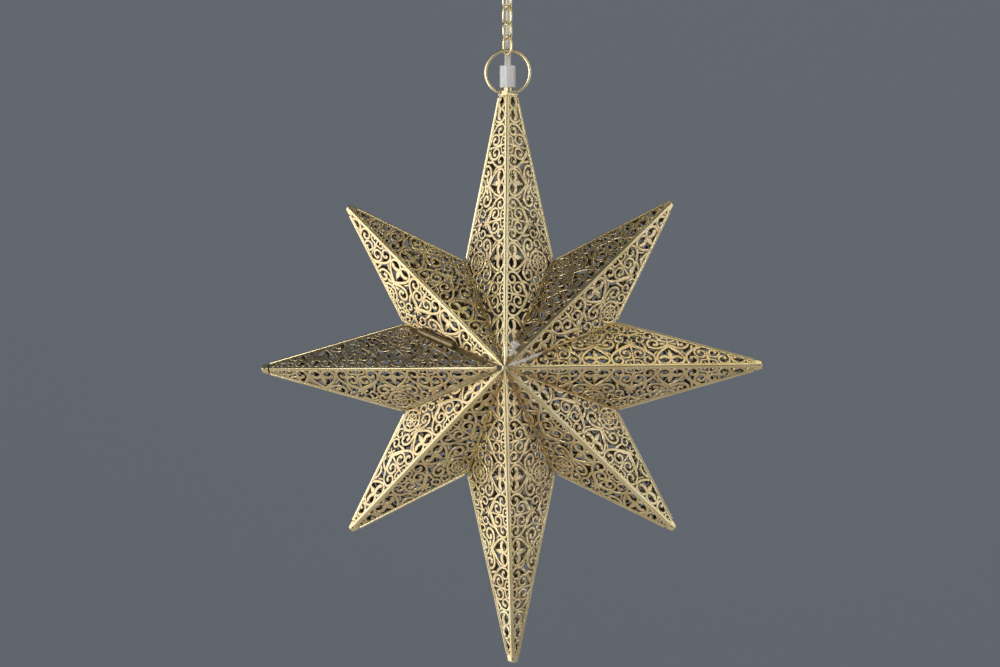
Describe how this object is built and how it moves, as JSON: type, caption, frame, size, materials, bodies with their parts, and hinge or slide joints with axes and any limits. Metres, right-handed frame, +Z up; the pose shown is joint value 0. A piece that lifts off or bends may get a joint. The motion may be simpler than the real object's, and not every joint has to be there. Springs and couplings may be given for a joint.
{
  "type": "advent star lamp",
  "caption": "Hanging star lamp of pierced brass sheet with long upright points, a hinged door for the bulb, wire ring, cord grip, chain, flat flex and ceiling rose.",
  "frame": {"origin": "on the ceiling face, midway between the two fixing screws and straight above the star's middle", "axes": "+Z up, -Y the front of the star, +X to the right seen from the front"},
  "size_m": [0.422, 0.1218, 0.6467],
  "materials": {
    "pierced_brass": "lacquered brass sheet, pierced and embossed",
    "brass": "bright lacquered brass",
    "flex": "off-white soft plastic",
    "clear_nylon": "milky nylon",
    "white_plastic": "moulded white",
    "black_plastic": "moulded black",
    "bulb_glass": "frosted",
    "steel": "zinc plated"
  },
  "bodies": {
    "ceiling": {"ceiling_strap": "steel", "rose_cup": "brass", "hook_eye": "brass", "hook_nuts": "steel", "cup_collar": "brass", "flex_bush": "white_plastic", "terminal_block": "white_plastic", "terminal_screws": "steel", "flex_tail": "flex", "flex_upper": "flex"},
    "chain_top": {"chain_link_1": "brass", "flex_middle": "flex"},
    "hanger": {"hanging_ring": "brass", "flex_lower": "flex"},
    "link_2": {"chain_link_2": "brass"},
    "link_3": {"chain_link_3": "brass"},
    "link_4": {"chain_link_4": "brass"},
    "link_5": {"chain_link_5": "brass"},
    "link_6": {"chain_link_6": "brass"},
    "star": {"back_panel_e": "pierced_brass", "back_panel_n": "pierced_brass", "back_panel_ne": "pierced_brass", "back_panel_nw": "pierced_brass", "back_panel_s": "pierced_brass", "back_panel_se": "pierced_brass", "back_panel_sw": "pierced_brass", "back_panel_w": "pierced_brass", "centre_bosses": "brass", "cord_grip": "clear_nylon", "cord_grip_screw": "steel", "front_panel_e": "pierced_brass", "front_panel_n": "pierced_brass", "front_panel_ne": "pierced_brass", "front_panel_nw": "pierced_brass", "front_panel_s": "pierced_brass", "front_panel_se": "pierced_brass", "front_panel_sw": "pierced_brass", "hanger_cap": "brass", "hinge_leaf_fixed": "brass", "hinge_pin": "brass", "inner_flex": "flex", "lampholder_body": "black_plastic", "lampholder_cap": "black_plastic", "lampholder_contacts": "brass", "outline_wires": "brass", "ridge_beads_back": "brass", "ridge_beads_front": "brass", "threaded_tube": "brass", "tip_caps": "brass", "tube_nut_bottom": "brass", "tube_nut_top": "brass"},
    "door": {"door_panel": "pierced_brass", "door_ridge_bead": "brass", "door_edge_strip": "brass", "hinge_leaf_door": "brass"},
    "bulb": {"bulb_cap": "steel", "bulb_glass": "bulb_glass"}
  },
  "joints": [
    {"name": "swing_fore", "type": "hinge", "parent": "ceiling", "child": "chain_top", "pos_m": [0, 0, -0.06125], "axis": [1, 0, 0], "range_deg": [-20, 20], "deforming": ["flex_upper"]},
    {"name": "swing_side", "type": "hinge", "parent": "chain_top", "child": "hanger", "pos_m": [0, 0, -0.0731], "axis": [0, 1, 0], "range_deg": [-20, 20], "deforming": ["flex_middle"]},
    {"name": "star_tilt", "type": "hinge", "parent": "hanger", "child": "star", "pos_m": [0, 0, -0.16718], "axis": [1, 0, 0], "range_deg": [-15, 15], "deforming": ["flex_lower"]},
    {"name": "link_2_rock", "type": "hinge", "parent": "hanger", "child": "link_2", "pos_m": [0, 0, -0.0782], "axis": [-0.6428, -0.766, 0], "range_deg": [-8, 8]},
    {"name": "link_3_rock", "type": "hinge", "parent": "hanger", "child": "link_3", "pos_m": [0, 0, -0.0908], "axis": [0.766, -0.6428, 0], "range_deg": [-8, 8]},
    {"name": "link_4_rock", "type": "hinge", "parent": "hanger", "child": "link_4", "pos_m": [0, 0, -0.1034], "axis": [-0.6428, -0.766, 0], "range_deg": [-8, 8]},
    {"name": "link_5_rock", "type": "hinge", "parent": "hanger", "child": "link_5", "pos_m": [0, 0, -0.116], "axis": [0.766, -0.6428, 0], "range_deg": [-8, 8]},
    {"name": "link_6_rock", "type": "hinge", "parent": "hanger", "child": "link_6", "pos_m": [0, 0, -0.1328], "axis": [-0.6428, -0.766, 0], "range_deg": [-8, 8]},
    {"name": "door_open", "type": "hinge", "parent": "star", "child": "door", "pos_m": [-0.09179, -0.00323, -0.36059], "axis": [-0.7866, 0.5245, 0.3258], "range_deg": [0, 95]},
    {"name": "bulb_turn", "type": "hinge", "parent": "star", "child": "bulb", "pos_m": [0, 0, -0.3987], "axis": [0, 0, 1], "continuous": true}
  ]
}
